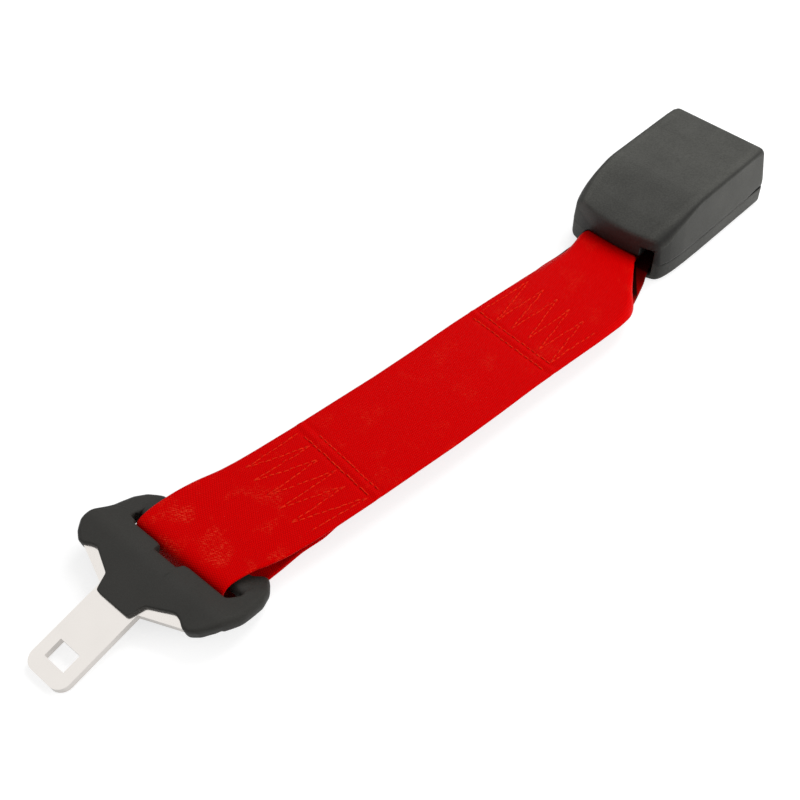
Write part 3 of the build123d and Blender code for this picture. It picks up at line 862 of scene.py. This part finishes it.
def makeTonguePlate():
    # a copy of the CAD plate, merged, its rear half shifted sideways and its sharp edges rolled over
    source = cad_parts["tongue_plate"]
    mesh = source.data.copy()
    mesh.name = "tongue_blade"
    mesh.materials.clear()
    mesh.materials.append(tongueSteel)
    editMesh(mesh, mergeFlat)
    t = tongue
    place = np.zeros(len(mesh.vertices) * 3, np.float32)
    mesh.vertices.foreach_get("co", place)
    place = place.reshape(-1, 3)
    away = place / mm - np.array(t["ridgePoint"])
    front, back = away @ np.array(t["bladeWay"]), away @ np.array(t["rearWay"])
    u = t["ridge"] + np.where(front < 0, front, back)
    place += (sideShift(u) * mm)[:, None] * np.array(t["lateral"])
    mesh.vertices.foreach_set("co", place.astype(np.float32).ravel())
    piece = bpy.data.objects.new("tongue_blade", mesh)
    scene.collection.objects.link(piece)
    bevel = piece.modifiers.new("rolled edges", "BEVEL")
    bevel.width = t["edgeRoll"] * mm
    bevel.segments = 4
    bevel.limit_method = "ANGLE"
    bevel.angle_limit = math.radians(35)
    mesh.polygons.foreach_set("use_smooth", [True] * len(mesh.polygons))
    normals = piece.modifiers.new("flat faces", "WEIGHTED_NORMAL")
    normals.keep_sharp = True
    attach(piece, "tongue")
    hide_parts("tongue_plate")


makeTongueCover()
makeTonguePlate()
print("tongue made")

strap = {"width": 48.0, "thick": 1.3, "step": 1.0, "across": 73, "top": 11.95, "blur": 1.6,
         "anchor": (-26.0, 7.7, 4.25), "selvedge": (0.12, 22.6, 1.0),
         "foldAt": (-66.0, -50.0), "foldRadius": (3.2, 1.8),
         "bendStart": (-0.040, 0.0, 0.0077), "bendEnd": (-0.066, 0.0, 0.0077)}


def turnRows():
    # slack turn at the tongue bar and tight half ring at the anchor bar, in (x, z of the middle)
    tongueTurn = np.array([(-277.5, 0.65), (-281.6, 0.8), (-283.9, 1.8), (-284.9, 3.4), (-284.6, 5.4),
                           (-283.9, 7.4), (-283.5, 9.2), (-282.6, 10.8), (-280.8, 11.75), (-278.6, 11.95)])
    angle = np.linspace(math.pi / 2, -math.pi / 2, 15)
    x, z, radius = strap["anchor"]
    anchorTurn = np.stack([x + radius * np.cos(angle), z + radius * np.sin(angle)], 1)
    return tongueTurn, anchorTurn


def strapRows():
    # one row per place along the strap: x, z, y of the middle, yaw, flat half, edge bend, width share
    tongueTurn, anchorTurn = turnRows()
    top = strap["top"]
    tail = [(-207.0, 10.65, -0.4, -5.0, 24, 0, 0.97), (-232.0, 10.65, 2.4, -5.0, 24, 0, 0.98),
            (-238.5, 9.6, 2.9, -6.0, 24, 0, 1), (-247.0, 6.4, 6.0, -6.0, 24, 0, 1),
            (-256.0, 2.9, 7.9, -4.0, 24, 0, 1), (-266.0, 0.9, 8.8, -1.0, 24, 0, 0.98),
            (-272.0, 0.65, 9.6, 0.5, 24, 0, 0.96)]
    bend = [(x, z, 10.6, 1.65, 24, 0, 0.96) for x, z in tongueTurn]
    upper = [(-274.5, top, 10.4, 1.65, 24, 0, 0.98), (-267.0, top, 9.4, -4.0, 24, 0, 0.99),
             (-261.0, top, 7.8, -10.0, 24, 0, 1), (-252.8, top, 5.2, -12.0, 24, 0, 1),
             (-243.8, top, 3.5, -8.0, 24, 0, 1), (-234.5, top, 2.2, -6.0, 24, 0, 1),
             (-216.0, top, 0.0, -5.6, 24, 0, 1), (-196.0, top, -2.0, -5.4, 24, 0, 1),
             (-175.6, top, -4.1, -5.0, 24, 0, 1), (-153.9, top, -5.7, -4.6, 24, 0, 1),
             (-130.6, top, -7.1, -4.6, 24, 0, 1), (-107.6, top, -9.1, -4.6, 21.5, 0.02, 1),
             (-95.4, top, -10.2, -3.6, 21.5, 0.1, 1), (-81.3, top, -11.0, -1.0, 20.8, 0.4, 1),
             (-73.5, top, -10.8, 0.0, 19.8, 0.9, 1), (-66.0, top, -9.2, 0.0, 17.8, 1.4, 0.99),
             (-60.0, 11.8, -6.9, 0.0, 16.0, 2.2, 0.96), (-54.0, 11.5, -4.6, 0.0, 15.2, 2.8, 0.93),
             (-47.0, 11.0, -1.5, 0.0, 15.3, 2.9, 0.86), (-43.0, 10.4, 0.1, 0.0, 15.2, 2.9, 0.8),
             (-40.0, 9.5, 0.3, 0.0, 14.9, 2.9, 0.77), (-37.0, 8.7, 0.2, 0.0, 14.6, 2.9, 0.75),
             (-34.0, 9.0, 0.0, 0.0, 14.4, 2.8, 0.74), (-31.0, 10.7, 0.0, 0.0, 15.0, 2.2, 0.71),
             (-28.5, 11.8, 0.0, 0.0, 18.0, 1.0, 0.67)]
    ring = [(x, z, 0.0, 0.0, 24, 0, 0.64) for x, z in anchorTurn]
    under = [(-31.0, 3.45, -0.6, 0.0, 24, 0, 0.68), (-41.0, 3.75, -2.0, 0.0, 24, 0, 0.75),
             (-46.0, 4.1, -3.6, 0.0, 24, 0, 0.79),
             (-52.0, 4.9, -4.8, -1.0, 22, 0.1, 0.84), (-62.0, 6.7, -7.2, -2.0, 22, 0.1, 0.9),
             (-74.0, 9.3, -9.25, -3.0, 22, 0.1, 0.96), (-82.0, 10.6, -10.2, -3.5, 24, 0, 0.975),
             (-100.0, 10.65, -9.3, -4.5, 24, 0, 0.975), (-127.0, 10.65, -7.0, -4.6, 24, 0, 0.975)]
    rows = np.array(tail + bend + upper + ring + under, float)
    rows = resample(rows, strap["step"])
    return blurRows(rows, strap["blur"])


# the strap's middle layer: each row's place, direction, side and normal
rows = strapRows()
gap = np.linalg.norm(np.diff(rows[:, :2], axis=0), axis=1)
along = np.concatenate([[0.0], np.cumsum(gap)])
centre = np.stack([rows[:, 0], rows[:, 2], rows[:, 1]], -1)
forward = np.gradient(rows[:, :2], axis=0)
forward /= np.linalg.norm(forward, axis=1)[:, None]
tangent = np.stack([forward[:, 0], 0 * forward[:, 0], forward[:, 1]], -1)
yaw = np.radians(rows[:, 3])
lateral = np.stack([-np.sin(yaw), np.cos(yaw), 0 * yaw], -1)
normal = np.cross(tangent, lateral)
normal /= np.linalg.norm(normal, axis=1)[:, None]
foldRadius = np.interp(rows[:, 0], strap["foldAt"], strap["foldRadius"])  # tighter towards the opening


def onStrap(index, t, offset):
    # point of the strap at row index (a float), t mm from its middle and offset mm off its middle layer;
    # beyond the flat half the edge turns round an arc, then goes on straight
    t = np.asarray(t, float)
    count = np.arange(len(rows))
    flat, bend, share = (np.interp(index, count, rows[:, k]) for k in (4, 5, 6))
    over = np.maximum(np.abs(t) - flat, 0.0)
    radius = np.interp(index, count, foldRadius)
    angle = np.minimum(over / radius, bend)
    rest = np.maximum(over - radius * bend, 0.0)
    inner = np.minimum(np.abs(t), flat)
    reach = (inner + radius * np.sin(angle) + rest * np.cos(bend)) * np.sign(t) * share
    drop = (radius * (1.0 - np.cos(angle)) + rest * np.sin(bend)) * share

    def pick(table):
        return np.stack([np.interp(index, count, table[:, k]) for k in range(3)], -1)

    side, up = pick(lateral), pick(normal)
    facing = up * np.cos(angle)[..., None] + side * (np.sign(t) * np.sin(angle))[..., None]
    middle = pick(centre) + side * reach[..., None] - up * drop[..., None]
    return middle + facing * np.asarray(offset)[..., None]


def makeWebbing():
    # one closed skin: lower face, rounded edge, upper face, rounded edge, carried along the rows
    half = strap["width"] / 2
    thick = strap["thick"] / 2
    t = np.linspace(-half + thick, half - thick, strap["across"])
    edge = np.linspace(-math.pi / 2, math.pi / 2, 7)[1:-1]
    sideT = half - thick + thick * np.cos(edge)
    sideO = thick * np.sin(edge)
    across = np.concatenate([t, sideT, t[::-1], -sideT])
    offset = np.concatenate([np.full(len(t), -thick), sideO, np.full(len(t), thick), -sideO])
    thicker, place, reach = strap["selvedge"]
    offset = offset * (1 + thicker * np.exp(-((np.abs(across) - place) / reach) ** 2))
    index, across = np.meshgrid(np.arange(len(rows), dtype=float), across, indexing="ij")
    points = onStrap(index, across, offset + pucker(index, across))
    uv = np.stack([across, np.interp(index, np.arange(len(rows)), along)], -1)
    count, around = points.shape[:2]
    faces = gridQuads(count, around, False, True).tolist()
    faces += endCaps(count, around)
    piece = meshPiece("webbing_strap", points, faces, webbingRed, None, uv=uv)
    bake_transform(piece)
    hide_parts("webbing")
    return piece


plyTop = 11.5  # rows above this, after the tongue's turn, belong to the upper ply
upperRows = np.where((np.arange(len(rows)) > np.argmin(rows[:, 0])) & (rows[:, 1] > plyTop))[0]


def rowAt(x):
    # row index of the upper ply at a given x
    return np.interp(x, rows[upperRows, 0], upperRows.astype(float))


stitching = {
    "tongueEnd": {"lines": [((-211.4, 14.0), (-211.4, -21.2)), ((-215.9, 17.6), (-215.9, -20.8))],
                  "zigzag": [(-217, 20), (-243, 19), (-217.2, 12), (-244, 12), (-219.5, 4.8), (-244.3, 3.2),
                             (-217, -3.8), (-244, -4.7), (-219.5, -11.7), (-244.2, -12.5), (-216.8, -21.2),
                             (-241, -20)]},
    "buckleEnd": {"lines": [((-122.6, 21.0), (-122.6, -20.0)), ((-118.2, 21.4), (-118.2, -19.6))],
                  "zigzag": [(-117, 21), (-88.5, 20.4), (-117, 12.5), (-88.0, 12.4), (-115.5, 5),
                             (-88.0, 4.4), (-114.5, -3.5),
                             (-89, -3.4), (-115.5, -10.7), (-90.4, -11.8), (-117.5, -19.0),
                             (-92, -19.4)]},
}


stitch = {"pitch": 2.7, "halfLength": 1.2, "radius": 0.25, "flat": 0.8, "sag": 0.22, "lift": 0.02,
          "shake": 0.35, "shakeShare": 0.4, "stretch": 0.08,
          "dip": (0.16, 1.3), "groove": (0.3, 0.75), "ridge": (0.22, 1.1)}  # depth or height, and reach


def stitchPoints(pattern):
    # middles and directions of the stitches, as (x, t) pairs, every pitch along each run
    middles, ways = [], []
    runs = [np.array(line) for line in pattern["lines"]]
    runs += [np.array(pair) for pair in zip(pattern["zigzag"][:-1], pattern["zigzag"][1:])]
    for run in runs:
        length = np.linalg.norm(run[1] - run[0])
        count = max(2, int(round(length / stitch["pitch"])))
        share = (np.arange(count) + 0.5) / count
        middles.append(run[0] + (run[1] - run[0]) * share[:, None])
        ways.append(np.repeat(((run[1] - run[0]) / length)[None], count, 0))
    return np.concatenate(middles), np.concatenate(ways)


def pucker(index, t):
    # the webbing dips under every stitch and in a groove along the cross seams; between the two
    # cross seams it rises over the hidden end of the tail
    x = np.interp(index, np.arange(len(rows)), rows[:, 0])
    onTop = (index >= upperRows[0]) & (index <= upperRows[-1])
    (depth, reach), (groove, grooveReach) = stitch["dip"], stitch["groove"]
    ridge, ridgeReach = stitch["ridge"]
    dip = np.zeros_like(t)
    rise = np.zeros_like(t)
    inside = fade(np.abs(t), strap["width"] / 2, -3.0)
    for pattern in stitching.values():
        for mx, mt in stitchPoints(pattern)[0]:
            dip = np.maximum(dip, depth * np.exp(-((x - mx) ** 2 + (t - mt) ** 2) / reach ** 2))
        seams = np.array(pattern["lines"])
        for seam in seams:
            dip = np.maximum(dip, groove * inside * np.exp(-((x - seam[0, 0]) / grooveReach) ** 2))
        middle = seams[:, 0, 0].mean()
        rise += ridge * np.exp(-((x - middle) / ridgeReach) ** 2)
    return (rise - dip) * onTop


def makeStitches(name, pattern, below):
    # each stitch is a small flattened capsule lying along its run, a little bent towards its ends
    middles, ways = stitchPoints(pattern)
    count = len(middles)
    thick, length, radius = strap["thick"], stitch["halfLength"], stitch["radius"]
    ring = np.linspace(0, 2 * math.pi, 8, endpoint=False)
    capAt = np.array([-1.0, -0.92, -0.7, -0.3, 0.3, 0.7, 0.92, 1.0])
    girth = np.sqrt(np.maximum(1 - np.abs(capAt) ** 4, 0.02))
    base = np.stack([np.broadcast_to(capAt[:, None] * length, (8, 8)),
                     radius * girth[:, None] * np.cos(ring), radius * girth[:, None] * np.sin(ring)], -1)
    shake = rng.normal(0.0, stitch["shake"], (count, 2)) * stitch["shakeShare"]
    stretch = (1 + rng.normal(0.0, stitch["stretch"], count))[:, None, None]
    x, t = (middles + shake).T
    wayX, wayT = ways[:, 0, None, None], ways[:, 1, None, None]
    ahead, aside, up = np.moveaxis(base[None], -1, 0)
    px = x[:, None, None] + wayX * ahead * stretch - wayT * aside
    pt = t[:, None, None] + wayT * ahead * stretch + wayX * aside
    curve = -stitch["sag"] * (ahead / length) ** 2
    lift = thick / 2 + stitch["lift"] + up * stitch["flat"] + curve
    if below:
        lift = -thick / 2 - thick - stitch["lift"] - up * stitch["flat"] - curve
    points = onStrap(rowAt(px), pt, lift)
    quads = gridQuads(8, 8, False, True)
    faces = (quads[None] + (np.arange(count) * 64)[:, None, None]).reshape(-1, 4).tolist()
    faces += [[k * 64 + corner for corner in cap] for k in range(count) for cap in endCaps(8, 8)]
    return meshPiece(name, points, faces, threadRed, "strap")


webbingPiece = makeWebbing()
stitchPieces = [makeStitches("stitching_" + key + side, pattern, side == "_under")
                for key, pattern in stitching.items() for side in ("", "_under")]

view = {"azimuth": -46.7895, "elevation": 48.2519, "distance": 507.95, "target": (-168.75, 9.68, 2.0),
        "focal": 1252.15 / 800 * 36.0, "sensor": 36.0}
lampTarget = (-0.15, 0.0, 0.01)
lamps = {
    "key": {"place": (0.45, -1.0, 0.5), "size": (0.9, 0.6), "power": 9.3},
    "top": {"place": (0.6, 0.1, 1.15), "size": (0.7, 0.7), "power": 7.4},
    "fill": {"place": (-1.0, 0.3, 0.8), "size": (0.8, 0.8), "power": 0.4},
}
floorLook = {"color": 0.46, "seen": 0.72, "reflected": 0.4, "half": 4, "drop": -0.0002}
tentLook = {"heights": (0.2, 0.72), "strength": (0.34, 1.0), "soft": 0.45}


def makeCamera():
    data = bpy.data.cameras.new("camera")
    data.sensor_width = view["sensor"]
    data.lens = view["focal"]
    data.clip_start = 0.01
    camera = bpy.data.objects.new("camera", data)
    a, e = math.radians(view["azimuth"]), math.radians(view["elevation"])
    back = Vector((math.sin(a) * math.cos(e), -math.cos(a) * math.cos(e), math.sin(e)))
    target = Vector(view["target"]) * mm
    camera.location = target + back * view["distance"] * mm
    camera.rotation_euler = back.to_track_quat("Z", "Y").to_euler()
    scene.collection.objects.link(camera)
    scene.camera = camera


def makeFloor():
    mesh = bpy.data.meshes.new("floor")
    far = floorLook["half"]
    mesh.from_pydata([(-far, -far, 0), (far, -far, 0), (far, far, 0), (-far, far, 0)], [], [(0, 1, 2, 3)])
    floor = bpy.data.objects.new("floor", mesh)
    floor.location.z = floorLook["drop"]
    scene.collection.objects.link(floor)
    material = bpy.data.materials.new("white floor")
    material.use_nodes = True
    tree = material.node_tree
    shader = tree.nodes["Principled BSDF"]
    setInputs(shader, {"Base Color": (*[floorLook["color"]] * 3, 1), "Roughness": 1.0,
                       "Specular IOR Level": 0.0, "Emission Color": (1, 1, 1, 1)})
    paths = tree.nodes.new("ShaderNodeLightPath")
    seen = mathNode(tree, "MULTIPLY", paths.outputs["Is Camera Ray"], floorLook["seen"])
    reflected = mathNode(tree, "MULTIPLY", paths.outputs["Is Glossy Ray"], floorLook["reflected"])
    tree.links.new(mathNode(tree, "ADD", seen, reflected), shader.inputs["Emission Strength"])
    mesh.materials.append(material)


def makeWorld():
    world = bpy.data.worlds.new("studio")
    scene.world = world
    world.use_nodes = True
    tree = world.node_tree
    background = tree.nodes["Background"]
    background.inputs["Color"].default_value = (1, 1, 1, 1)
    # white for the camera; reflections see a tent that darkens towards the horizon
    paths = tree.nodes.new("ShaderNodeLightPath")
    place = tree.nodes.new("ShaderNodeTexCoord")
    split = tree.nodes.new("ShaderNodeSeparateXYZ")
    tree.links.new(place.outputs["Generated"], split.inputs[0])
    tent = ramp(tree, split.outputs["Z"], *tentLook["heights"], *tentLook["strength"])
    seen = mathNode(tree, "MAXIMUM", paths.outputs["Is Camera Ray"], paths.outputs["Is Transmission Ray"])
    glossy = mathNode(tree, "MULTIPLY", paths.outputs["Is Glossy Ray"], tent)
    soft = mathNode(tree, "MULTIPLY", paths.outputs["Is Diffuse Ray"], tentLook["soft"])
    strength = combine(tree, "ADD", seen, glossy, soft)
    tree.links.new(strength, background.inputs["Strength"])


def makeLamp(name, lamp):
    data = bpy.data.lights.new(name, "AREA")
    data.shape = "RECTANGLE"
    data.size, data.size_y = lamp["size"]
    data.energy = lamp["power"]
    light = bpy.data.objects.new(name, data)
    light.location = lamp["place"]
    away = Vector(lamp["place"]) - Vector(lampTarget)
    light.rotation_euler = away.to_track_quat("Z", "Y").to_euler()
    light.visible_glossy = False
    scene.collection.objects.link(light)


makeCamera()
makeFloor()
makeWorld()
for name, lamp in lamps.items():
    makeLamp(name, lamp)
scene.view_settings.view_transform = "Standard"
print("stage made")
